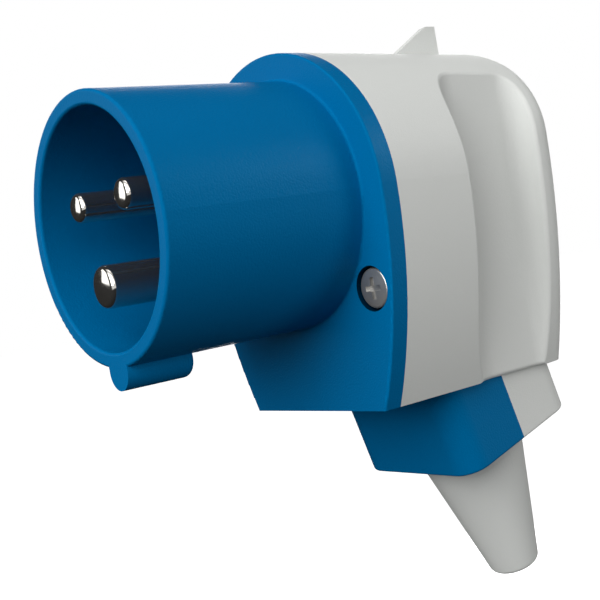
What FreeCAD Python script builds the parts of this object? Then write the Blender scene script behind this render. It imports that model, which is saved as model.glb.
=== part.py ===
import FreeCAD, Part
import math
import os

# Angled industrial plug, three contacts, 16 A class, with a cable collar that points
# down and back. Millimetres. The origin is the centre of the shroud's front rim, the
# shroud opens to -Y, the keyway rib is at the bottom and +Z is up.

# Shroud
SHROUD_RADIUS = 22.0
SHROUD_ROOT_RADIUS = 21.85
SHROUD_WALL = 2.5
SHROUD_LENGTH = 37.1
RIM_ROUND = 0.5
ROOT_FILLET = 0.5
KEY_HALF_WIDTH = 3.0
KEY_TIP_RADIUS = 25.6
KEY_LENGTH = 12.6
KEY_END_ROUND = 1.3

# Flange and body outline, seen along the shroud's axis
BODY_RADIUS = 26.6
SIDE_ARC_RADIUS = 86.7
BODY_BOTTOM = -36.7
FLANGE_THICKNESS = 3.5
FLANGE_EDGE_ROUND = 0.4
WALL = 2.4
LIP_THICKNESS = 1.6
LIP_HEIGHT = 3.4
FIT_GAP = 0.15

# Rear housing
BODY_BACK = 86.5
DRAFT = 0.025
BACK_ROUND = 4.5
RIM_SIDE_STEP = 3.2
RIM_CORNER_STEP = 7.8
RIM_FOOT_TAPER = 0.15
TAPER_START = 67.0
RIM_START = 76.8

# Finger scoop on each side of the rear housing
SCOOP_FRONT = 58.2
SCOOP_FRONT_RADIUS = 7.5
SCOOP_FLOOR = 17.85
SCOOP_FLOOR_END = 76.8
SCOOP_FLANK_RADIUS = 3.5
SCOOP_FLANK_ANGLE = 84.0
SCOOP_LEAN = 1.3
SCOOP_LEAN_START = 18.8
SCOOP_EDGE_ROUND = 0.8

# Retaining lug on top of the rear housing
LUG_FRONT = 68.6
LUG_BACK = 81.2
LUG_TOP = 31.85
LUG_TOP_LENGTH = 2.5
LUG_WIDTH = 1.6

# Square cable collar, split into a front and a rear half
COLLAR_TILT = 15.3
COLLAR_FRONT = 53.2
COLLAR_SIZE = 30.2
COLLAR_CORNER_RADIUS = 4.7
COLLAR_LENGTH = 17.3
COLLAR_EDGE_ROUND = 0.5

# Bend relief boot
BOOT_ROOT_RADIUS = 10.8
BOOT_TIP_RADIUS = 4.88
BOOT_LENGTH = 28.6
BOOT_TIP_ROUND = 1.3
BOOT_TIP_BORE_RADIUS = 3.3
BOOT_TIP_LAND = 6.0
BOOT_INNER_BORE_RADIUS = 6.6
BOOT_FLANGE_SIDE_GAP = 0.2
BOOT_FLANGE_THICKNESS = 3.0
BOOT_FIT_GAP = 0.1

# Contact pins
PIN_CIRCLE_RADIUS = 9.0
POLE_PIN_RADIUS = 2.5
EARTH_PIN_RADIUS = 3.5
POLE_PIN_TIP = 1.2
EARTH_PIN_TIP = -0.5
PIN_TIP_ROUND = 0.9
PIN_TIP_CROWN = 0.3
PIN_ROOT_STEP = 0.25
POLE_BARREL_RADIUS = 4.2
EARTH_BARREL_RADIUS = 4.7
PIN_SHOULDER = 42.0
BARREL_END = 58.0
WIRE_BORE_RADIUS = 1.8
WIRE_BORE_DEPTH = 11.0
TERMINAL_SCREW_POSITION = 52.0
TERMINAL_HEAD_RADIUS = 3.2
TERMINAL_HEAD_HEIGHT = 2.2
TERMINAL_SCREW_RADIUS = 1.9

# Contact carrier
CARRIER_FACE = 36.0
CARRIER_GAP = 0.12
CARRIER_FLANGE_RADIUS = 21.3
CARRIER_FLANGE_THICKNESS = 2.5
GASKET_THICKNESS = 1.0
TOWER_WALL = 2.2
TOWER_END = 60.0
EAR_SIDE_GAP = 1.25
EAR_THICKNESS = 2.5
EAR_BOTTOM = -28.4
EAR_CORNER_RADIUS = 3.4
CARRIER_SCREW_INSET = 3.6
CARRIER_SCREW_Z = -24.5
CARRIER_BOSS_RADIUS = 3.2
CARRIER_SCREW_RADIUS = 1.5
CARRIER_SCREW_LENGTH = 6.0

# Housing screws and their threaded inserts
HOUSING_SCREW_EDGE = 4.69
HOUSING_SCREW_SHROUD_GAP = 0.31
SCREW_POCKET_RADIUS = 3.75
SCREW_POCKET_DEPTH = 2.2
HOUSING_HEAD_RADIUS = 3.35
HOUSING_HEAD_SINK = 0.2
HOUSING_HEAD_CROWN = 0.25
HOUSING_HEAD_ROUND = 0.4
HOUSING_DRIVE_REACH = 0.55
HOUSING_DRIVE_DEPTH = 0.9
HOUSING_SCREW_RADIUS = 1.95
HOUSING_SCREW_LENGTH = 14.0
HOUSING_BOSS_RADIUS = 4.4
HOUSING_BOSS_END = 56.0
INSERT_RADIUS = 3.0
INSERT_LENGTH = 10.0
INSERT_SINK = 0.8

# Cable clamp inside the collar
CABLE_RADIUS = 5.6
CLAMP_TOP = 1.0
CLAMP_WIDTH = 7.0
CLAMP_SIDE_GAP = 0.4
CLAMP_SCREW_RADIUS = 1.65
CLAMP_HEAD_RADIUS = 2.9
CLAMP_HEAD_HEIGHT = 2.2
CLAMP_BOSS_RADIUS = 2.9
CLAMP_BOSS_SKIN = 1.2
CLAMP_PART_LINE_GAP = 0.8
CLAMP_EAR_THICKNESS = 3.5
CLAMP_ARCH_WALL = 2.0
CRADLE_DROP = 5.0

# Screw drive shared by the small screws
SLOT_WIDTH = 0.9
SLOT_DEPTH = 1.0
THREAD_GAP = 0.05

# Places that follow from the sizes above
SEAM = SHROUD_LENGTH + FLANGE_THICKNESS
BORE_RADIUS = SHROUD_RADIUS - SHROUD_WALL
SIDE_ARC_OFFSET = SIDE_ARC_RADIUS - BODY_RADIUS
SCREW_CIRCLE = SHROUD_RADIUS + SCREW_POCKET_RADIUS + HOUSING_SCREW_SHROUD_GAP
SCREW_SIDE_ARC = SIDE_ARC_RADIUS - HOUSING_SCREW_EDGE
HOUSING_SCREW_X = (SCREW_SIDE_ARC ** 2 - SCREW_CIRCLE ** 2 - SIDE_ARC_OFFSET ** 2) / (2 * SIDE_ARC_OFFSET)
HOUSING_SCREW_Z = -math.sqrt(SCREW_CIRCLE ** 2 - HOUSING_SCREW_X ** 2)
EAR_HALF_WIDTH = HOUSING_SCREW_X - HOUSING_BOSS_RADIUS - EAR_SIDE_GAP
CARRIER_SCREW_X = EAR_HALF_WIDTH - CARRIER_SCREW_INSET
COLLAR_INNER_HALF = COLLAR_SIZE / 2 - WALL
BOOT_FLANGE_RADIUS = COLLAR_INNER_HALF - BOOT_FLANGE_SIDE_GAP
CLAMP_REACH = COLLAR_INNER_HALF - CLAMP_SIDE_GAP
CLAMP_SCREW_X = CLAMP_REACH - CLAMP_HEAD_RADIUS
FAR = 200.0
ON_SURFACE = 0.001

ORIGIN = FreeCAD.Vector(0, 0, 0)
AXIS_X = FreeCAD.Vector(1, 0, 0)
AXIS_Y = FreeCAD.Vector(0, 1, 0)
AXIS_Z = FreeCAD.Vector(0, 0, 1)


def vec(x, y, z):
    return FreeCAD.Vector(x, y, z)


def rod(radius, start, end, x=0.0, z=0.0):
    """Cylinder along Y between two Y positions."""
    return Part.makeCylinder(radius, end - start, vec(x, start, z), AXIS_Y)


def block(x0, x1, y0, y1, z0, z1):
    return Part.makeBox(x1 - x0, y1 - y0, z1 - z0, vec(x0, y0, z0))


def turned(profile, x=0.0, z=0.0):
    """Solid of revolution about an axis along Y, from (radius, y) points."""
    points = [vec(radius, y, 0) for radius, y in profile]
    wire = Part.makePolygon(points + points[:1])
    solid = Part.Face(wire).revolve(ORIGIN, AXIS_Y, 360)
    solid.translate(vec(x, 0, z))
    return solid


def rounded(solid, radius, chosen):
    """Fillet the edges that the test picks by their centre of mass and box."""
    edges = [edge for edge in solid.Edges if chosen(edge)]
    return solid.makeFillet(radius, edges)


def crowned_rod(radius, crown, start, end):
    """Round bar along Y with a slightly domed front end, whose middle is at the start."""
    sphere = (radius ** 2 + crown ** 2) / (2 * crown)
    dome = Part.makeSphere(sphere, vec(0, start + sphere, 0))
    dome = dome.common(rod(radius, start - FIT_GAP, start + crown))
    return dome.fuse(rod(radius, start + crown, end)).removeSplitter()


def front_rounded(bar, radius, rim):
    """Round the outer edge of a crowned bar's front end."""
    return rounded(bar, radius, lambda edge: edge.BoundBox.YMax < rim + ON_SURFACE)


def mirrored(solid):
    return solid.mirror(ORIGIN, AXIS_X)


# Outlines across the body

def side_x(z, inset):
    """Half width of the flange outline at a height below the axis."""
    arc = SIDE_ARC_RADIUS - inset
    return math.sqrt(arc * arc - z * z) - SIDE_ARC_OFFSET


def closed_wire(edges):
    return Part.Wire([edge.toShape() for edge in edges])


def mirrored_outline(y, points):
    """Closed outline from right-hand (x, z) points: top, corner arc, side arc, bottom.

    The points are the arc ends and middles in order: upper end of the corner arc, its middle,
    its lower end, middle of the side arc and bottom corner.
    """
    upper, corner, shoulder, side, foot = points
    top = vec(0, y, math.hypot(*upper))

    def right(point):
        return vec(point[0], y, point[1])

    def left(point):
        return vec(-point[0], y, point[1])

    return closed_wire([
        Part.Arc(right(upper), top, left(upper)),
        Part.Arc(left(upper), left(corner), left(shoulder)),
        Part.Arc(left(shoulder), left(side), left(foot)),
        Part.LineSegment(left(foot), right(foot)),
        Part.Arc(right(foot), right(side), right(shoulder)),
        Part.Arc(right(shoulder), right(corner), right(upper)),
    ])


def corner_turn():
    """Direction from the axis to the upper end of the rim's corner arc."""
    centre_x = RIM_CORNER_STEP - RIM_SIDE_STEP
    return math.acos(centre_x / RIM_CORNER_STEP)


def body_outline(y, inset, bottom_inset=0.0):
    """Flange outline: half circle on top, long side arcs, flat bottom."""
    radius = BODY_RADIUS - inset
    bottom = BODY_BOTTOM + bottom_inset
    turn = corner_turn()
    return mirrored_outline(y, [
        (radius * math.cos(turn), radius * math.sin(turn)),
        (radius * math.cos(turn / 2), radius * math.sin(turn / 2)),
        (radius, 0),
        (side_x(bottom / 2, inset), bottom / 2),
        (side_x(bottom, inset), bottom),
    ])


def rim_outline(y, inset, bottom_inset=0.0):
    """Narrower outline of the rear rim, behind the finger scoops."""
    radius = BODY_RADIUS - inset
    half_width = radius - RIM_SIDE_STEP
    corner = radius - RIM_CORNER_STEP
    turn = corner_turn()
    centre_x = RIM_CORNER_STEP * math.cos(turn)
    centre_z = RIM_CORNER_STEP * math.sin(turn)
    bottom = BODY_BOTTOM + bottom_inset
    foot = side_x(BODY_BOTTOM, inset) - RIM_FOOT_TAPER * (y - RIM_START)
    drop = half_width - foot
    side = (drop ** 2 + (centre_z - BODY_BOTTOM) ** 2) / (2 * drop)

    def side_at(z):
        return half_width - side + math.sqrt(side ** 2 - (z - centre_z) ** 2)

    middle = (bottom + centre_z) / 2
    return mirrored_outline(y, [
        (radius * math.cos(turn), radius * math.sin(turn)),
        (centre_x + corner * math.cos(turn / 2), centre_z + corner * math.sin(turn / 2)),
        (half_width, centre_z),
        (side_at(middle), middle),
        (side_at(bottom), bottom),
    ])


def draft_at(y):
    return DRAFT * (y - SEAM)


def drawn_body(sections, inset, bottom_inset):
    """Body through (outline, y) sections, drawn in by the mould draft."""
    wires = [outline(y, inset + draft_at(y), bottom_inset) for outline, y in sections]
    return Part.makeLoft(wires, True, True)


def scoop(grow):
    """Right-hand finger scoop, deeper towards the bottom; grow moves its walls outwards."""
    front = SCOOP_FRONT - grow
    radius = SCOOP_FRONT_RADIUS + grow
    floor = SCOOP_FLOOR - grow
    centre = (SCOOP_FLOOR + SCOOP_FRONT_RADIUS, SCOOP_FRONT + SCOOP_FRONT_RADIUS)
    flank_radius = SCOOP_FLANK_RADIUS + grow
    flank_centre = (SCOOP_FLOOR + SCOOP_FLANK_RADIUS, SCOOP_FLOOR_END)
    angle = math.radians(SCOOP_FLANK_ANGLE)
    bottom = BODY_BOTTOM - FLANGE_THICKNESS
    reach = BODY_RADIUS + FLANGE_THICKNESS
    half = math.sqrt(0.5)

    def flank_at(turn):
        return vec(flank_centre[0] - flank_radius * math.cos(turn),
                   flank_centre[1] + flank_radius * math.sin(turn), bottom)

    flank_end = flank_at(angle)
    run = (reach - flank_end.x) / math.sin(angle)
    outer = vec(reach, flank_end.y + run * math.cos(angle), bottom)
    start = vec(reach, front, bottom)
    front_end = vec(centre[0], front, bottom)
    floor_start = vec(floor, centre[1], bottom)
    floor_end = vec(floor, SCOOP_FLOOR_END, bottom)
    mid = vec(centre[0] - radius * half, centre[1] - radius * half, bottom)
    wire = closed_wire([
        Part.LineSegment(start, front_end),
        Part.Arc(front_end, mid, floor_start),
        Part.LineSegment(floor_start, floor_end),
        Part.Arc(floor_end, flank_at(angle / 2), flank_end),
        Part.LineSegment(flank_end, outer),
        Part.LineSegment(outer, start),
    ])
    tool = Part.Face(wire).extrude(vec(0, 0, reach - bottom))
    tool.rotate(vec(SCOOP_FLOOR, 0, SCOOP_LEAN_START), AXIS_Y, SCOOP_LEAN)
    return tool


# Cable collar, built upright in its own frame and then tilted into place

def tilted(solid):
    solid.rotate(ORIGIN, AXIS_X, COLLAR_TILT)
    solid.translate(vec(0, COLLAR_FRONT, BODY_BOTTOM))
    return solid


def square_bar(inset, low, high):
    half = COLLAR_SIZE / 2 - inset
    bar = block(-half, half, inset, COLLAR_SIZE - inset, low, high)
    radius = COLLAR_CORNER_RADIUS - inset
    return rounded(bar, radius, lambda edge: edge.BoundBox.ZLength > high - low - FIT_GAP)


def collar_rod(radius, low, high, x=0.0):
    return Part.makeCylinder(radius, high - low, vec(x, COLLAR_SIZE / 2, low), AXIS_Z)


def collar_half(rear):
    """One half of the collar: walls, bottom wall with the boot's hole, open top."""
    outside = square_bar(0.0, -COLLAR_LENGTH, COLLAR_SIZE)
    outside = rounded(outside, COLLAR_EDGE_ROUND,
                      lambda edge: edge.BoundBox.ZMax < -COLLAR_LENGTH + FIT_GAP)
    hollow = square_bar(WALL, WALL - COLLAR_LENGTH, COLLAR_SIZE + WALL)
    hole = collar_rod(BOOT_ROOT_RADIUS + BOOT_FIT_GAP, -COLLAR_LENGTH - WALL, 0)
    tube = outside.cut(hollow).cut(hole)
    middle = COLLAR_SIZE / 2
    if rear:
        keep = block(-FAR, FAR, middle, FAR, -FAR, FAR)
    else:
        keep = block(-FAR, FAR, -FAR, middle, -FAR, FAR)
    return tilted(tube.common(keep))


def below_floor(solid):
    """Keep what lies under the inner face of the body's bottom wall."""
    return solid.common(block(-FAR, FAR, -FAR, FAR, -FAR, BODY_BOTTOM + WALL))


# Front shell: shroud, key rib, flange, locating lip, bottom bridge and front half collar

def shroud():
    profile = [
        (BORE_RADIUS, 0), (SHROUD_RADIUS, 0),
        (SHROUD_ROOT_RADIUS, SHROUD_LENGTH), (SHROUD_ROOT_RADIUS, SEAM), (BORE_RADIUS, SEAM),
    ]
    tube = turned(profile)
    return rounded(tube, RIM_ROUND, lambda edge: edge.BoundBox.YMax < RIM_ROUND
                   and edge.Length > SHROUD_RADIUS)


def key_rib():
    tip_centre = KEY_TIP_RADIUS - KEY_HALF_WIDTH
    inner = BORE_RADIUS + SHROUD_WALL / 2
    rib = block(-KEY_HALF_WIDTH, KEY_HALF_WIDTH, 0, KEY_LENGTH, -tip_centre, 0)
    rib = rib.fuse(rod(KEY_HALF_WIDTH, 0, KEY_LENGTH, 0, -tip_centre)).removeSplitter()
    rib = rib.cut(rod(inner, 0, KEY_LENGTH))
    return rounded(rib, KEY_END_ROUND,
                   lambda edge: edge.BoundBox.YMin > KEY_LENGTH - FIT_GAP
                   and edge.CenterOfMass.z < -inner - FIT_GAP)


def locating_lip():
    outer = WALL + FIT_GAP
    inner = outer + LIP_THICKNESS
    solid = Part.Face(body_outline(SEAM, outer, outer)).extrude(vec(0, LIP_HEIGHT, 0))
    hollow = Part.Face(body_outline(SEAM, inner, inner)).extrude(vec(0, LIP_HEIGHT, 0))
    lip = solid.cut(hollow)
    half = COLLAR_SIZE / 2
    lip = lip.cut(block(-half, half, SEAM, FAR, -FAR, BODY_BOTTOM + 2 * inner))
    lip = lip.cut(rod(CARRIER_FLANGE_RADIUS + FIT_GAP, SEAM, FAR))
    for x in (-HOUSING_SCREW_X, HOUSING_SCREW_X):
        room = HOUSING_BOSS_RADIUS + 2 * FIT_GAP
        lip = lip.cut(rod(room, SEAM, FAR, x, HOUSING_SCREW_Z))
    return lip


def bottom_bridge():
    """Floor strip that joins the flange to the front half collar."""
    half = COLLAR_SIZE / 2
    strip = block(-half, half, SHROUD_LENGTH + FLANGE_THICKNESS / 2, COLLAR_FRONT + WALL,
                  BODY_BOTTOM, BODY_BOTTOM + WALL)
    hollow = tilted(square_bar(WALL, -COLLAR_SIZE, COLLAR_SIZE))
    return strip.cut(hollow)


def clamp_seat():
    """Cradle and two screw bosses on the front wall of the collar."""
    low = -CLAMP_TOP - CLAMP_WIDTH
    middle = COLLAR_SIZE / 2
    face = middle - CRADLE_DROP
    root = WALL / 2
    cradle = block(-CABLE_RADIUS, CABLE_RADIUS, root, face, low, -CLAMP_TOP)
    height = (low - CLAMP_TOP) / 2
    seat = cradle
    for x in (-CLAMP_SCREW_X, CLAMP_SCREW_X):
        boss = Part.makeCylinder(CLAMP_BOSS_RADIUS, face - root, vec(x, root, height), AXIS_Y)
        seat = seat.fuse(boss)
    seat = seat.cut(collar_rod(CABLE_RADIUS, -COLLAR_SIZE, COLLAR_SIZE))
    for x in (-CLAMP_SCREW_X, CLAMP_SCREW_X):
        start = WALL + CLAMP_BOSS_SKIN
        hole = Part.makeCylinder(CLAMP_SCREW_RADIUS + THREAD_GAP, COLLAR_SIZE,
                                 vec(x, start, height), AXIS_Y)
        seat = seat.cut(hole)
    return tilted(seat)


def flange():
    plate = Part.Face(body_outline(SHROUD_LENGTH, 0.0)).extrude(vec(0, FLANGE_THICKNESS, 0))
    return rounded(plate, FLANGE_EDGE_ROUND,
                   lambda edge: edge.BoundBox.YMax < SHROUD_LENGTH + FIT_GAP
                   and edge.CenterOfMass.z > BODY_BOTTOM + FIT_GAP)


def front_shell():
    plate = flange().cut(rod(BORE_RADIUS, SHROUD_LENGTH, SEAM))
    shell = shroud().fuse(plate)
    shell = rounded(shell, ROOT_FILLET, lambda edge: edge.Length > BODY_RADIUS * 4
                    and abs(edge.CenterOfMass.y - SHROUD_LENGTH) < FIT_GAP
                    and edge.BoundBox.XLength < 2 * SHROUD_RADIUS + FIT_GAP
                    and edge.BoundBox.ZLength < 2 * SHROUD_RADIUS + FIT_GAP)
    boss_end = carrier_seat()
    pieces = [key_rib(), locating_lip(), bottom_bridge(), below_floor(collar_half(False))]
    for x in (-CARRIER_SCREW_X, CARRIER_SCREW_X):
        pieces.append(rod(CARRIER_BOSS_RADIUS, SEAM - WALL / 2, boss_end, x, CARRIER_SCREW_Z))
    pieces.append(clamp_seat())
    shell = shell.multiFuse(pieces).removeSplitter()
    cuts = []
    for x in (-HOUSING_SCREW_X, HOUSING_SCREW_X):
        pocket_end = SHROUD_LENGTH + SCREW_POCKET_DEPTH
        cuts.append(rod(SCREW_POCKET_RADIUS, 0, pocket_end, x, HOUSING_SCREW_Z))
        cuts.append(rod(HOUSING_SCREW_RADIUS + FIT_GAP, pocket_end, SEAM, x, HOUSING_SCREW_Z))
    for x in (-CARRIER_SCREW_X, CARRIER_SCREW_X):
        hole_start = boss_end + EAR_THICKNESS - CARRIER_SCREW_LENGTH
        cuts.append(rod(CARRIER_SCREW_RADIUS + THREAD_GAP, hole_start, boss_end + WALL, x,
                        CARRIER_SCREW_Z))
    return shell.cut(Part.makeCompound(cuts))


# Rear housing: thin shell with scoops, lug, insert bosses and the rear half collar

def retaining_lug():
    low = BODY_RADIUS - draft_at(LUG_BACK) - WALL / 2
    points = [
        vec(0, LUG_FRONT, low), vec(0, LUG_FRONT, BODY_RADIUS - draft_at(LUG_FRONT)),
        vec(0, LUG_BACK - LUG_TOP_LENGTH, LUG_TOP), vec(0, LUG_BACK, LUG_TOP),
        vec(0, LUG_BACK, low),
    ]
    face = Part.Face(Part.makePolygon(points + points[:1]))
    lug = face.extrude(vec(LUG_WIDTH, 0, 0))
    lug.translate(vec(-LUG_WIDTH / 2, 0, 0))
    return lug


def rear_body(inset, back_round):
    """Drafted body with a rounded back; inset shrinks it to the inner hollow."""
    back = BODY_BACK - inset
    floor = BODY_BOTTOM + inset
    body = drawn_body([(body_outline, SEAM), (body_outline, TAPER_START), (rim_outline, RIM_START),
                       (rim_outline, back)], inset, inset)
    return rounded(body, back_round,
                   lambda edge: edge.BoundBox.YMin > back - FIT_GAP
                   and edge.BoundBox.ZMax > floor + FIT_GAP)


def insert_boss(x):
    boss = rod(HOUSING_BOSS_RADIUS, SEAM, HOUSING_BOSS_END, x, HOUSING_SCREW_Z)
    inside = drawn_body([(body_outline, SEAM), (body_outline, TAPER_START)], WALL / 2, WALL)
    return boss.common(inside)


def carved(body, tool):
    """Cut the tool from the body and round the edges where the two surfaces meet."""
    skin, blade = body.Shells[0], tool.Shells[0]

    def on_both(edge):
        middle = Part.Vertex(edge.valueAt((edge.FirstParameter + edge.LastParameter) / 2))
        return (middle.distToShape(skin)[0] < ON_SURFACE
                and middle.distToShape(blade)[0] < ON_SURFACE)

    return rounded(body.cut(tool), SCOOP_EDGE_ROUND, on_both)


def doubled(solid):
    """Keep the right-hand half and add its mirror image."""
    half = solid.common(block(0, FAR, -FAR, FAR, -FAR, FAR))
    return half.fuse(mirrored(half)).removeSplitter()


def rear_housing():
    outer = rear_body(0.0, BACK_ROUND)
    inner = rear_body(WALL, BACK_ROUND - WALL)
    right, wide = scoop(0.0), scoop(WALL)
    outer = doubled(carved(outer, right))
    inner = inner.cut(wide).cut(mirrored(wide))
    shell = outer.cut(inner)
    middle = COLLAR_SIZE / 2
    half = middle + FIT_GAP
    passage = tilted(block(-half, half, -FAR, middle, -COLLAR_SIZE, COLLAR_SIZE / 2))
    passage = below_floor(passage)
    shell = shell.cut(passage)
    shell = shell.cut(tilted(square_bar(WALL, -COLLAR_SIZE, COLLAR_SIZE / 2)))
    collar = below_floor(collar_half(True))
    shell = shell.multiFuse([collar, retaining_lug(), insert_boss(-HOUSING_SCREW_X),
                             insert_boss(HOUSING_SCREW_X)]).removeSplitter()
    insert_end = SEAM + INSERT_SINK + INSERT_LENGTH
    for x in (-HOUSING_SCREW_X, HOUSING_SCREW_X):
        shell = shell.cut(rod(INSERT_RADIUS, SEAM, insert_end, x, HOUSING_SCREW_Z))
        shell = shell.cut(rod(HOUSING_SCREW_RADIUS + FIT_GAP, insert_end,
                              HOUSING_BOSS_END - CLAMP_BOSS_SKIN, x, HOUSING_SCREW_Z))
    return shell


# Contact carrier, its gasket and the pins

def pin_places():
    """Name, x, z, pin radius, barrel radius and tip position of each contact."""
    swing = math.radians(60)
    side, rise = PIN_CIRCLE_RADIUS * math.sin(swing), PIN_CIRCLE_RADIUS * math.cos(swing)
    return [
        ("line", -side, rise, POLE_PIN_RADIUS, POLE_BARREL_RADIUS, POLE_PIN_TIP),
        ("neutral", side, rise, POLE_PIN_RADIUS, POLE_BARREL_RADIUS, POLE_PIN_TIP),
        ("earth", 0.0, -PIN_CIRCLE_RADIUS, EARTH_PIN_RADIUS, EARTH_BARREL_RADIUS, EARTH_PIN_TIP),
    ]


def outward(x, z):
    return vec(x, 0, z).normalize()


def carrier_seat():
    """Y position where the carrier's ears rest on the front shell's bosses."""
    return SEAM + GASKET_THICKNESS + CARRIER_FLANGE_THICKNESS


def terminal_screw_place(x, z, distance):
    return vec(x, TERMINAL_SCREW_POSITION, z) + outward(x, z) * distance


def pin_carrier():
    rear = carrier_seat()
    carrier = rod(BORE_RADIUS - CARRIER_GAP, CARRIER_FACE, rear)
    carrier = carrier.fuse(rod(CARRIER_FLANGE_RADIUS, SEAM + GASKET_THICKNESS, rear))
    ear = block(-EAR_HALF_WIDTH, EAR_HALF_WIDTH, rear, rear + EAR_THICKNESS, EAR_BOTTOM,
                -PIN_CIRCLE_RADIUS)
    ear = rounded(ear, EAR_CORNER_RADIUS, lambda edge: edge.BoundBox.ZMax < EAR_BOTTOM + FIT_GAP
                  and edge.BoundBox.YLength > EAR_THICKNESS - FIT_GAP)
    carrier = carrier.fuse(ear)
    for name, x, z, pin, barrel, tip in pin_places():
        carrier = carrier.fuse(rod(barrel + TOWER_WALL, rear - FIT_GAP, TOWER_END, x, z))
    for name, x, z, pin, barrel, tip in pin_places():
        carrier = carrier.cut(rod(pin + PIN_ROOT_STEP + CARRIER_GAP, 0, PIN_SHOULDER, x, z))
        carrier = carrier.cut(rod(barrel + CARRIER_GAP, PIN_SHOULDER, FAR, x, z))
        window = Part.makeCylinder(TERMINAL_HEAD_RADIUS + FIT_GAP, 2 * barrel,
                                   vec(x, TERMINAL_SCREW_POSITION, z), outward(x, z))
        carrier = carrier.cut(window)
    for x in (-CARRIER_SCREW_X, CARRIER_SCREW_X):
        carrier = carrier.cut(rod(CARRIER_SCREW_RADIUS + FIT_GAP, 0, FAR, x, CARRIER_SCREW_Z))
    return carrier.removeSplitter()


def carrier_gasket():
    ring = rod(CARRIER_FLANGE_RADIUS, SEAM, SEAM + GASKET_THICKNESS)
    return ring.cut(rod(BORE_RADIUS, SEAM, SEAM + GASKET_THICKNESS))


def contact_pin(x, z, pin, barrel, tip):
    root = pin + PIN_ROOT_STEP
    bore_end = BARREL_END - WIRE_BORE_DEPTH
    profile = [(0, CARRIER_FACE), (root, CARRIER_FACE), (root, PIN_SHOULDER),
               (barrel, PIN_SHOULDER), (barrel, BARREL_END), (WIRE_BORE_RADIUS, BARREL_END),
               (WIRE_BORE_RADIUS, bore_end), (0, bore_end)]
    shaft = crowned_rod(pin, PIN_TIP_CROWN, tip, CARRIER_FACE)
    shaft = front_rounded(shaft, PIN_TIP_ROUND, tip + PIN_TIP_CROWN)
    shaft.translate(vec(x, 0, z))
    body = turned(profile, x, z).fuse(shaft).removeSplitter()
    thread = Part.makeCylinder(TERMINAL_SCREW_RADIUS + THREAD_GAP, 2 * barrel,
                               vec(x, TERMINAL_SCREW_POSITION, z), outward(x, z))
    return body.cut(thread)


def slotted_screw(shank, length, head, height, place, direction):
    """Cheese-head screw: the head stands on the place and the shank runs behind it."""
    body = Part.makeCylinder(head, height, ORIGIN, AXIS_Z)
    body = rounded(body, SLOT_WIDTH / 3, lambda edge: edge.BoundBox.ZMin > height - FIT_GAP)
    body = body.cut(block(-head, head, -SLOT_WIDTH / 2, SLOT_WIDTH / 2, height - SLOT_DEPTH,
                          height))
    body = body.fuse(Part.makeCylinder(shank, length, vec(0, 0, -length), AXIS_Z))
    body.Placement = FreeCAD.Placement(place, FreeCAD.Rotation(AXIS_Z, direction))
    return body


def terminal_screw(x, z, barrel):
    seat = barrel + CLAMP_BOSS_SKIN
    return slotted_screw(TERMINAL_SCREW_RADIUS, seat - WIRE_BORE_RADIUS, TERMINAL_HEAD_RADIUS,
                         TERMINAL_HEAD_HEIGHT, terminal_screw_place(x, z, seat), outward(x, z))


def carrier_screw(x):
    place = vec(x, carrier_seat() + EAR_THICKNESS, CARRIER_SCREW_Z)
    return slotted_screw(CARRIER_SCREW_RADIUS, CARRIER_SCREW_LENGTH, CARRIER_BOSS_RADIUS - FIT_GAP,
                         TERMINAL_HEAD_HEIGHT, place, AXIS_Y)


# Housing screws, inserts and the cable entry

def housing_screw(x):
    seat = SHROUD_LENGTH + SCREW_POCKET_DEPTH
    top = SHROUD_LENGTH + HOUSING_HEAD_SINK
    screw = crowned_rod(HOUSING_HEAD_RADIUS, HOUSING_HEAD_CROWN, top, seat)
    screw = front_rounded(screw, HOUSING_HEAD_ROUND, top + HOUSING_HEAD_CROWN)
    reach = HOUSING_HEAD_RADIUS * HOUSING_DRIVE_REACH
    half_slot = SLOT_WIDTH / 2
    floor = top + HOUSING_DRIVE_DEPTH
    across = block(-reach, reach, top - FIT_GAP, floor, -half_slot, half_slot)
    upright = block(-half_slot, half_slot, top - FIT_GAP, floor, -reach, reach)
    screw = screw.cut(across).cut(upright)
    screw = screw.fuse(rod(HOUSING_SCREW_RADIUS, seat, seat + HOUSING_SCREW_LENGTH))
    screw.translate(vec(x, 0, HOUSING_SCREW_Z))
    return screw


def threaded_insert(x):
    start = SEAM + INSERT_SINK
    sleeve = rod(INSERT_RADIUS, start, start + INSERT_LENGTH, x, HOUSING_SCREW_Z)
    return sleeve.cut(rod(HOUSING_SCREW_RADIUS + THREAD_GAP, start, start + INSERT_LENGTH, x,
                          HOUSING_SCREW_Z))


def bend_relief_boot():
    """Flanged cone with a tapered bore, held by its flange between the collar halves."""
    face = WALL - COLLAR_LENGTH
    tip = -COLLAR_LENGTH - BOOT_LENGTH
    profile = [
        (BOOT_INNER_BORE_RADIUS, face + BOOT_FLANGE_THICKNESS),
        (BOOT_FLANGE_RADIUS, face + BOOT_FLANGE_THICKNESS), (BOOT_FLANGE_RADIUS, face),
        (BOOT_ROOT_RADIUS, face), (BOOT_ROOT_RADIUS, -COLLAR_LENGTH), (BOOT_TIP_RADIUS, tip),
        (BOOT_TIP_BORE_RADIUS, tip), (BOOT_TIP_BORE_RADIUS, tip + BOOT_TIP_LAND),
    ]
    points = [vec(radius, 0, z) for radius, z in profile]
    face_shape = Part.Face(Part.makePolygon(points + points[:1]))
    boot = face_shape.revolve(ORIGIN, AXIS_Z, 360)
    boot = rounded(boot, BOOT_TIP_ROUND, lambda edge: edge.BoundBox.ZMax < tip + FIT_GAP
                   and edge.BoundBox.XLength > 2 * BOOT_TIP_RADIUS - FIT_GAP)
    boot.translate(vec(0, COLLAR_SIZE / 2, 0))
    return tilted(boot)


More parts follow.
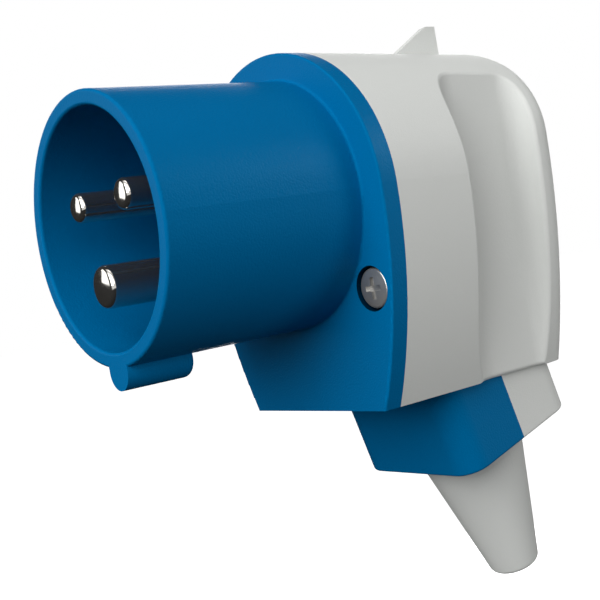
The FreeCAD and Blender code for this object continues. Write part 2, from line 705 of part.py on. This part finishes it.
def clamp_saddle():
    middle = COLLAR_SIZE / 2
    low = -CLAMP_TOP - CLAMP_WIDTH
    start = middle + CLAMP_PART_LINE_GAP
    seat = start + CLAMP_EAR_THICKNESS
    saddle = block(-CLAMP_REACH, CLAMP_REACH, start, seat, low, -CLAMP_TOP)
    arch = collar_rod(CABLE_RADIUS + CLAMP_ARCH_WALL, low, -CLAMP_TOP)
    arch = arch.common(block(-FAR, FAR, start, FAR, -FAR, FAR))
    saddle = saddle.fuse(arch).cut(collar_rod(CABLE_RADIUS, -FAR, FAR))
    height = (low - CLAMP_TOP) / 2
    for x in (-CLAMP_SCREW_X, CLAMP_SCREW_X):
        hole = Part.makeCylinder(CLAMP_SCREW_RADIUS + FIT_GAP, COLLAR_SIZE, vec(x, 0, height),
                                 AXIS_Y)
        room = Part.makeCylinder(CLAMP_HEAD_RADIUS + FIT_GAP, COLLAR_SIZE, vec(x, seat, height),
                                 AXIS_Y)
        saddle = saddle.cut(hole).cut(room)
    return tilted(saddle.removeSplitter())


def clamp_screw(x):
    seat = COLLAR_SIZE / 2 + CLAMP_PART_LINE_GAP + CLAMP_EAR_THICKNESS
    height = -CLAMP_TOP - CLAMP_WIDTH / 2
    length = seat - WALL - 2 * CLAMP_BOSS_SKIN
    screw = slotted_screw(CLAMP_SCREW_RADIUS, length, CLAMP_HEAD_RADIUS, CLAMP_HEAD_HEIGHT,
                          vec(x, seat, height), AXIS_Y)
    holder = Part.makeCompound([screw])
    return tilted(holder).Solids[0]


def build():
    nodes = {
        "front_shell": front_shell(),
        "rear_housing": rear_housing(),
        "pin_carrier": pin_carrier(),
        "carrier_gasket": carrier_gasket(),
        "bend_relief_boot": bend_relief_boot(),
        "clamp_saddle": clamp_saddle(),
    }
    for name, x, z, pin, barrel, tip in pin_places():
        nodes["pin_" + name] = contact_pin(x, z, pin, barrel, tip)
        nodes["terminal_screw_" + name] = terminal_screw(x, z, barrel)
    for side, sign in (("right", 1), ("left", -1)):
        nodes["housing_screw_" + side] = housing_screw(sign * HOUSING_SCREW_X)
        nodes["threaded_insert_" + side] = threaded_insert(sign * HOUSING_SCREW_X)
        nodes["carrier_screw_" + side] = carrier_screw(sign * CARRIER_SCREW_X)
        nodes["clamp_screw_" + side] = clamp_screw(sign * CLAMP_SCREW_X)
    return nodes


def write(nodes):
    os.makedirs("parts", exist_ok=True)
    for name, shape in nodes.items():
        solids = shape.Solids
        shape = solids[0] if len(solids) == 1 else Part.makeCompound(solids)
        box = shape.BoundBox
        print("%-24s solids %d valid %s volume %9.1f  x %6.1f %6.1f  y %6.1f %6.1f  z %6.1f %6.1f"
              % (name, len(solids), shape.isValid(), shape.Volume, box.XMin, box.XMax,
                 box.YMin, box.YMax, box.ZMin, box.ZMax))
        shape.exportStep("parts/" + name + ".step")


write(build())
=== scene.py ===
import math

import bpy
from mathutils import Matrix, Vector


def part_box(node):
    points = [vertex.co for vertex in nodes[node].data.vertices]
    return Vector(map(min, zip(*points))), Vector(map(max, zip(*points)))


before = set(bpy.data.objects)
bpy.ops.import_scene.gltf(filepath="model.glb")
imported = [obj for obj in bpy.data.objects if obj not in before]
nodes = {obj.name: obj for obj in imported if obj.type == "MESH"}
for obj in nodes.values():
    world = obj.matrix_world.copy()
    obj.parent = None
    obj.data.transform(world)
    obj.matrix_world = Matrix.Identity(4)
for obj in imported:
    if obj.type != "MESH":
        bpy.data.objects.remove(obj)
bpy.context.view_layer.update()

# Camera
# It stands to the right of the shroud's mouth, level with the plug and tipped a little to one side, so that
# the shroud opens towards the left and the cable collar hangs down on the right.
MM = 0.001
CAMERA_PLACE = Vector((156.5, -79.3, -11.3)) * MM
CAMERA_AZIMUTH = math.radians(53.27)
CAMERA_ELEVATION = math.radians(1.59)
CAMERA_ROLL = math.radians(-9.66)
FOCAL_PIXELS = 1100.5
PICTURE_PIXELS = 600
SENSOR_WIDTH = 36.0
NEAREST_SEEN = 0.01
FARTHEST_SEEN = 50.0

back = Vector((math.sin(CAMERA_AZIMUTH) * math.cos(CAMERA_ELEVATION),
               -math.cos(CAMERA_AZIMUTH) * math.cos(CAMERA_ELEVATION),
               math.sin(CAMERA_ELEVATION)))
level_right = Vector((math.cos(CAMERA_AZIMUTH), math.sin(CAMERA_AZIMUTH), 0.0))
level_up = back.cross(level_right)
right = level_right * math.cos(CAMERA_ROLL) + level_up * math.sin(CAMERA_ROLL)
up = level_up * math.cos(CAMERA_ROLL) - level_right * math.sin(CAMERA_ROLL)
camera_data = bpy.data.cameras.new("camera")
camera_data.sensor_width = SENSOR_WIDTH
camera_data.lens = SENSOR_WIDTH * FOCAL_PIXELS / PICTURE_PIXELS
camera_data.clip_start = NEAREST_SEEN
camera_data.clip_end = FARTHEST_SEEN
camera = bpy.data.objects.new("camera", camera_data)
bpy.context.scene.collection.objects.link(camera)
camera.matrix_world = Matrix.Translation(CAMERA_PLACE) @ Matrix((right, up, back)).transposed().to_4x4()
bpy.context.scene.camera = camera


# Front shell and contact carrier
# The shell is the blue front half of the plug: the shroud, the flange and half of the cable collar. The carrier
# holds the contacts and is screwed to two bosses inside the shell. Both are moulded in signal-blue polyamide.
BLUE = "00669C"
BLUE_DEEP = "006398"
BLUE_SHEEN = "20E0FF"
BLUE_ROUGHNESS = 0.37
BLUE_GRAIN_DEPTH_MM = 0.06

# The moulds are spark-eroded. Their grain is really about 0.1 mm wide; it is drawn at 0.36 mm, two pixels of
# the picture, and as deep as it needs to be to show.
GRAIN_MM = 0.36
GRAIN_DETAIL = 2.0
GRAIN_GLOSS_DROP = 0.04
GRAIN_GLOSS_RISE = 0.06

# The flow of the melt leaves faint clouds of tone, an inch or so across.
CLOUD_MM = 26.0
CLOUD_DETAIL = 3.0

# Grain scatters most of the mirror reflection, so little of it is left.
GRAINED_SPECULAR = 0.04

# The numbers of the colour sockets on a Mix node, whose names are all alike.
FIRST_COLOUR = 6
SECOND_COLOUR = 7
MIXED_COLOUR = 2


def linear(hex_colour):
    """An sRGB hex colour as the linear RGBA that shaders take."""
    channels = [int(hex_colour[i:i + 2], 16) / 255 for i in (0, 2, 4)]
    return [c / 12.92 if c <= 0.04045 else ((c + 0.055) / 1.055) ** 2.4 for c in channels] + [1.0]


def add_node(holder, kind, settings=None, links=None):
    """Adds a node to a material or world, with its settings and the links into it, by name or by number."""
    tree = holder.node_tree
    node = tree.nodes.new(kind)
    for name, value in (settings or {}).items():
        if isinstance(name, int) or name in node.inputs:
            node.inputs[name].default_value = value
        else:
            setattr(node, name, value)
    for name, source in (links or {}).items():
        tree.links.new(source, node.inputs[name])
    return node


def new_material(name, metallic, roughness):
    material = bpy.data.materials.new(name)
    material.use_nodes = True
    shader = material.node_tree.nodes["Principled BSDF"]
    shader.inputs["Metallic"].default_value = metallic
    shader.inputs["Roughness"].default_value = roughness
    return material, shader


def moulded_plastic(name, tone, deep_tone, roughness, grain_mm, grain_depth_mm, sheen_tint="FFFFFF"):
    """Grained moulded plastic: cloudy tone, fine bump and a little uneven gloss."""
    material, shader = new_material(name, 0.0, roughness)
    shader.inputs["Specular IOR Level"].default_value = GRAINED_SPECULAR
    shader.inputs["Specular Tint"].default_value = linear(sheen_tint)
    place = add_node(material, "ShaderNodeTexCoord").outputs["Object"]
    clouds = add_node(material, "ShaderNodeTexNoise",
                      {"Scale": 1 / (CLOUD_MM * MM), "Detail": CLOUD_DETAIL}, {"Vector": place})
    tones = add_node(material, "ShaderNodeMix",
                     {"data_type": "RGBA", FIRST_COLOUR: linear(tone), SECOND_COLOUR: linear(deep_tone)},
                     {"Factor": clouds.outputs["Fac"]})
    grain = add_node(material, "ShaderNodeTexNoise",
                     {"Scale": 1 / (grain_mm * MM), "Detail": GRAIN_DETAIL}, {"Vector": place})
    gloss = add_node(material, "ShaderNodeMapRange",
                     {"To Min": roughness - GRAIN_GLOSS_DROP, "To Max": roughness + GRAIN_GLOSS_RISE},
                     {"Value": grain.outputs["Fac"]})
    bump = add_node(material, "ShaderNodeBump",
                    {"Distance": grain_depth_mm * MM}, {"Height": grain.outputs["Fac"]})
    links = material.node_tree.links
    links.new(tones.outputs[MIXED_COLOUR], shader.inputs["Base Color"])
    links.new(gloss.outputs["Result"], shader.inputs["Roughness"])
    links.new(bump.outputs["Normal"], shader.inputs["Normal"])
    return material


def dress(node_name, material):
    nodes[node_name].data.materials.clear()
    nodes[node_name].data.materials.append(material)


# Signal-blue polyamide looks deep and even, with a satin sheen that turns lighter and greener.
blue_polyamide = moulded_plastic("blue_polyamide", BLUE, BLUE_DEEP, BLUE_ROUGHNESS, GRAIN_MM,
                                 BLUE_GRAIN_DEPTH_MM, BLUE_SHEEN)
dress("front_shell", blue_polyamide)
dress("pin_carrier", blue_polyamide)

# The narrow pockets round the two sunk screw heads are painted in shade: the blue is darkened within a small ring
# round each head, a painted shadow where little light gets in.
POCKET_PAINTED_SHADE = 0.12
POCKET_GAP = 0.43 * MM
head_low, head_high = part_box("housing_screw_right")
head_radius = (head_high[0] - head_low[0]) / 2
head_middle = ((head_low[0] + head_high[0]) / 2, 0.0, (head_low[2] + head_high[2]) / 2)
painted_shade_blue = [channel * POCKET_PAINTED_SHADE for channel in linear(BLUE)[:3]] + [1.0]
blue_shader = blue_polyamide.node_tree.nodes["Principled BSDF"]
cloudy_blue = blue_shader.inputs["Base Color"].links[0].from_socket
spot = add_node(blue_polyamide, "ShaderNodeTexCoord")
axes = add_node(blue_polyamide, "ShaderNodeSeparateXYZ", links={"Vector": spot.outputs["Object"]})
either_side = add_node(blue_polyamide, "ShaderNodeMath", {"operation": "ABSOLUTE"}, {0: axes.outputs["X"]})
across = add_node(blue_polyamide, "ShaderNodeCombineXYZ",
                  links={"X": either_side.outputs[0], "Z": axes.outputs["Z"]})
reach = add_node(blue_polyamide, "ShaderNodeVectorMath",
                 {"operation": "DISTANCE", 1: head_middle}, {0: across.outputs[0]})
# Painted shade: inside this ring round each head the blue is darkened.
painted_shade_ring = add_node(blue_polyamide, "ShaderNodeMath",
                  {"operation": "LESS_THAN", 1: head_radius + POCKET_GAP}, {0: reach.outputs["Value"]})
shaded = add_node(blue_polyamide, "ShaderNodeMix", {"data_type": "RGBA", SECOND_COLOUR: painted_shade_blue},
                  {"Factor": painted_shade_ring.outputs[0], FIRST_COLOUR: cloudy_blue})
blue_polyamide.node_tree.links.new(shaded.outputs[MIXED_COLOUR], blue_shader.inputs["Base Color"])


# Rear housing
# The back half of the case, with its finger scoops, its lug and the other half of the collar. It is moulded in
# light grey polyamide and held to the flange by the two housing screws.
GREY = "D9DBD8"
GREY_DEEP = "D5D7D4"
GREY_ROUGHNESS = 0.45
GREY_GRAIN_DEPTH_MM = 0.04

# The same spark-eroded grain looks matt and soft on a pale colour.
grey_polyamide = moulded_plastic("grey_polyamide", GREY, GREY_DEEP, GREY_ROUGHNESS, GRAIN_MM, GREY_GRAIN_DEPTH_MM)
dress("rear_housing", grey_polyamide)


# Bend relief boot
# A soft cone that keeps the cable from bending sharply where it leaves the plug. It is moulded in grey
# thermoplastic rubber, and its root flange stands in the split collar.
BOOT_GREY = "DBDDDA"
BOOT_GREY_DEEP = "D6D8D5"
RUBBER_ROUGHNESS = 0.6
RUBBER_GRAIN_MM = 0.4
RUBBER_GRAIN_DEPTH_MM = 0.03

# Rubber is duller than the case, with a shallower grain.
soft_rubber = moulded_plastic("soft_rubber", BOOT_GREY, BOOT_GREY_DEEP, RUBBER_ROUGHNESS, RUBBER_GRAIN_MM,
                              RUBBER_GRAIN_DEPTH_MM)
dress("bend_relief_boot", soft_rubber)


# Contact pins
# Line, neutral and the thicker earth, turned from brass rod and plated with bright nickel. Each stands in a
# tower of the carrier, with its working end free in the shroud.
NICKEL = "C4C1BB"
NICKEL_METALLIC = 0.955
NICKEL_ROUGHNESS = 0.08

# The turning tool leaves rings about 0.1 mm apart; they are drawn as shallow waves 2.2 mm apart, so that they
# show. Handling leaves smears a few millimetres long.
RING_PITCH_MM = 2.2
RING_WANDER = 1.5
RING_DEPTH_MM = 0.01
RING_STRENGTH = 0.1
SMEAR_MM = 4.0
SMEAR_DETAIL = 4.0
SMEAR_BRIGHTEST = 0.6
SMEAR_DULLEST = 1.5

# How far a Wave node at scale 1 runs from one crest to the next.
WAVE_LENGTH = 2 * math.pi / 20


def turned_metal(name, tone, roughness, metallic=1.0):
    """Turned metal with fine rings across its axis and a smeared gloss."""
    material, shader = new_material(name, metallic, roughness)
    shader.inputs["Base Color"].default_value = linear(tone)
    place = add_node(material, "ShaderNodeTexCoord").outputs["Object"]
    rings = add_node(material, "ShaderNodeTexWave",
                     {"bands_direction": "Y", "Scale": WAVE_LENGTH / (RING_PITCH_MM * MM),
                      "Distortion": RING_WANDER}, {"Vector": place})
    smears = add_node(material, "ShaderNodeTexNoise",
                      {"Scale": 1 / (SMEAR_MM * MM), "Detail": SMEAR_DETAIL}, {"Vector": place})
    gloss = add_node(material, "ShaderNodeMapRange",
                     {"To Min": roughness * SMEAR_BRIGHTEST, "To Max": roughness * SMEAR_DULLEST},
                     {"Value": smears.outputs["Fac"]})
    bump = add_node(material, "ShaderNodeBump", {"Strength": RING_STRENGTH, "Distance": RING_DEPTH_MM * MM},
                    {"Height": rings.outputs["Fac"]})
    links = material.node_tree.links
    links.new(gloss.outputs["Result"], shader.inputs["Roughness"])
    links.new(bump.outputs["Normal"], shader.inputs["Normal"])
    return material


# Bright nickel is almost a mirror with a warm cast, and a trace of tarnish on it.
nickel_plate = turned_metal("nickel_plate", NICKEL, NICKEL_ROUGHNESS, NICKEL_METALLIC)
for contact in ("line", "neutral", "earth"):
    dress("pin_" + contact, nickel_plate)


# Housing screws
# Two stainless steel screws with cross recesses in their pan heads, pressed cold and then tumbled. They are sunk
# in pockets of the flange and draw the two halves of the case together.
STAINLESS = "BEBDBA"
STAINLESS_METALLIC = 0.8
STAINLESS_ROUGHNESS = 0.34

# Tumbling leaves the faces a dull pale grey, with soft reflections.
stainless = turned_metal("tumbled_stainless", STAINLESS, STAINLESS_ROUGHNESS, STAINLESS_METALLIC)
for side in ("right", "left"):
    dress("housing_screw_" + side, stainless)


# Small metal parts inside
# The terminal, carrier and clamp screws are zinc-plated steel. The inserts that take the housing screws are
# turned from brass and set in bosses of the rear housing.
ZINC = "B4B8BC"
ZINC_ROUGHNESS = 0.28
BRASS = "C9A45C"
BRASS_ROUGHNESS = 0.25

# Zinc plate looks bluish and half bright, turned brass a clear yellow.
zinc_plate = turned_metal("zinc_plate", ZINC, ZINC_ROUGHNESS)
turned_brass = turned_metal("turned_brass", BRASS, BRASS_ROUGHNESS)
for contact in ("line", "neutral", "earth"):
    dress("terminal_screw_" + contact, zinc_plate)
for side in ("right", "left"):
    dress("carrier_screw_" + side, zinc_plate)
    dress("clamp_screw_" + side, zinc_plate)
    dress("threaded_insert_" + side, turned_brass)


# Gasket and cable saddle
# The gasket is a flat ring of black nitrile rubber between the carrier and the shell. The saddle is moulded in
# black glass-filled polyamide, and two clamp screws press it on the cable.
BLACK = "26272A"
BLACK_DEEP = "1E1F22"
SADDLE_ROUGHNESS = 0.5
SADDLE_GRAIN_DEPTH_MM = 0.05

# Nitrile rubber is dull and sooty; the saddle's glass fibres leave it rougher to the eye than the case.
nitrile_rubber = moulded_plastic("nitrile_rubber", BLACK, BLACK_DEEP, RUBBER_ROUGHNESS, RUBBER_GRAIN_MM,
                                 RUBBER_GRAIN_DEPTH_MM)
black_polyamide = moulded_plastic("black_polyamide", BLACK, BLACK_DEEP, SADDLE_ROUGHNESS, GRAIN_MM,
                                  SADDLE_GRAIN_DEPTH_MM)
dress("carrier_gasket", nitrile_rubber)
dress("clamp_saddle", black_polyamide)


# Studio
# A pale floor well below the plug and a white surround. Only what is seen directly or mirrored is white: the
# light itself comes from a dim even surround and five soft lamps. Cards that show only in reflections give the
# pins their dark sides and bright patch, and the shroud its sheen, as cards do in a product photograph.
MIDDLE = Vector((0.0, 0.03, 0.0))
FLOOR_LEVEL = -0.30
FLOOR_SIZE = 16.0
FLOOR_PAINT = "E7E7E7"
FLOOR_GLOW = 0.85
FLOOR_UNSEEN = "3F3F3F"
SURROUND_WHITE = 1.0
SURROUND_LIGHT = 0.295
LAMP_DISTANCE = 0.9
CARD_BLACK = 0.005


def shown_directly(holder):
    """One for rays from the camera, mirrors and glass, none for the rays that light the plug."""
    ray = add_node(holder, "ShaderNodeLightPath").outputs
    shown = add_node(holder, "ShaderNodeMath", {"operation": "MAXIMUM"},
                     {0: ray["Is Camera Ray"], 1: ray["Is Glossy Ray"]})
    clear = add_node(holder, "ShaderNodeMath", {"operation": "MAXIMUM"},
                     {0: shown.outputs[0], 1: ray["Is Transmission Ray"]})
    return clear.outputs[0]


bpy.ops.object.select_all(action="DESELECT")
bpy.ops.mesh.primitive_plane_add(size=FLOOR_SIZE, location=(0.0, 0.0, FLOOR_LEVEL))
floor = bpy.context.active_object
floor.name = "floor"
floor_paint = bpy.data.materials.new("floor_paint")
floor_paint.use_nodes = True
floor_paint.node_tree.nodes.clear()
matt = add_node(floor_paint, "ShaderNodeBsdfDiffuse", {"Color": linear(FLOOR_PAINT)})
glow = add_node(floor_paint, "ShaderNodeEmission", {"Strength": FLOOR_GLOW})
bright = add_node(floor_paint, "ShaderNodeAddShader", links={0: matt.outputs[0], 1: glow.outputs[0]})
dark = add_node(floor_paint, "ShaderNodeBsdfDiffuse", {"Color": linear(FLOOR_UNSEEN)})
choice = add_node(floor_paint, "ShaderNodeMixShader",
                  links={0: shown_directly(floor_paint), 1: dark.outputs[0], 2: bright.outputs[0]})
add_node(floor_paint, "ShaderNodeOutputMaterial", links={"Surface": choice.outputs[0]})
floor.data.materials.append(floor_paint)

world = bpy.data.worlds.new("studio")
world.use_nodes = True
bpy.context.scene.world = world
world.node_tree.nodes.clear()
soft = add_node(world, "ShaderNodeBackground", {"Color": linear("FFFFFF"), "Strength": SURROUND_LIGHT})
white = add_node(world, "ShaderNodeBackground", {"Color": linear("FFFFFF"), "Strength": SURROUND_WHITE})
surround = add_node(world, "ShaderNodeMixShader",
                    links={0: shown_directly(world), 1: soft.outputs[0], 2: white.outputs[0]})
add_node(world, "ShaderNodeOutputWorld", links={"Surface": surround.outputs[0]})


def turned_to(azimuth, elevation, distance):
    """The place at an angle round the plug, counted from straight in front of the pins towards the right."""
    turn, lift = math.radians(azimuth), math.radians(elevation)
    return MIDDLE + distance * Vector((math.sin(turn) * math.cos(lift), -math.cos(turn) * math.cos(lift),
                                       math.sin(lift)))


def soft_lamp(name, azimuth, elevation, size, watts):
    """A square lamp that faces the plug."""
    data = bpy.data.lights.new(name, "AREA")
    data.shape = "SQUARE"
    data.size = size
    data.energy = watts
    lamp = bpy.data.objects.new(name, data)
    bpy.context.scene.collection.objects.link(lamp)
    lamp.location = turned_to(azimuth, elevation, LAMP_DISTANCE)
    lamp.rotation_euler = (MIDDLE - lamp.location).to_track_quat("-Z", "Y").to_euler()


# The front lamp is the main light. The others keep the sides, the back and the top from going dull.
soft_lamp("front_lamp", azimuth=20, elevation=25, size=0.8, watts=9.4)
soft_lamp("right_lamp", azimuth=62, elevation=20, size=0.4, watts=0.95)
soft_lamp("back_lamp", azimuth=128, elevation=-8, size=0.4, watts=1.65)
soft_lamp("top_lamp", azimuth=10, elevation=78, size=0.4, watts=0.75)
soft_lamp("far_side_lamp", azimuth=-130, elevation=4, size=0.6, watts=4.8)


def mirrored_card(name, place, width, height, glow, lean=0):
    """A flat card, facing the plug, that shows only in reflections."""
    bpy.ops.object.select_all(action="DESELECT")
    turn = (MIDDLE - place).to_track_quat("Z", "Y").to_euler()
    bpy.ops.mesh.primitive_plane_add(size=1.0, location=place, rotation=turn)
    card = bpy.context.active_object
    card.name = name
    card.scale = (width, height, 1.0)
    card.rotation_euler.rotate_axis("Z", math.radians(lean))
    paint = bpy.data.materials.new(name)
    paint.use_nodes = True
    paint.node_tree.nodes.clear()
    shine = add_node(paint, "ShaderNodeEmission", {"Strength": glow})
    add_node(paint, "ShaderNodeOutputMaterial", links={"Surface": shine.outputs[0]})
    card.data.materials.append(paint)
    card.visible_camera = card.visible_diffuse = card.visible_shadow = card.visible_transmission = False


# The black cards darken the sides of the pins. Of the white ones, the left one is the bright patch on the pins,
# the right one the sheen along the shroud, and the far one the bright strip on the shroud's top edge.
mirrored_card("left_black_card", turned_to(-52, 0, 0.62), width=1.7, height=1.6, glow=CARD_BLACK)
mirrored_card("back_black_card", turned_to(-140, 66, 0.70), width=1.6, height=0.92, glow=CARD_BLACK)
mirrored_card("far_white_card", turned_to(-122, 11, 0.75), width=1.0, height=0.38, glow=4.3)
mirrored_card("under_black_card", turned_to(53, -89, 0.16), width=1.2, height=1.2, glow=CARD_BLACK)
mirrored_card("left_white_card", turned_to(-44, 14, 0.5), width=0.19, height=0.25, glow=2.4, lean=12)
mirrored_card("right_white_card", turned_to(139, 22, 0.6), width=0.35, height=0.18, glow=10.5)

bpy.context.scene.view_settings.view_transform = "Standard"
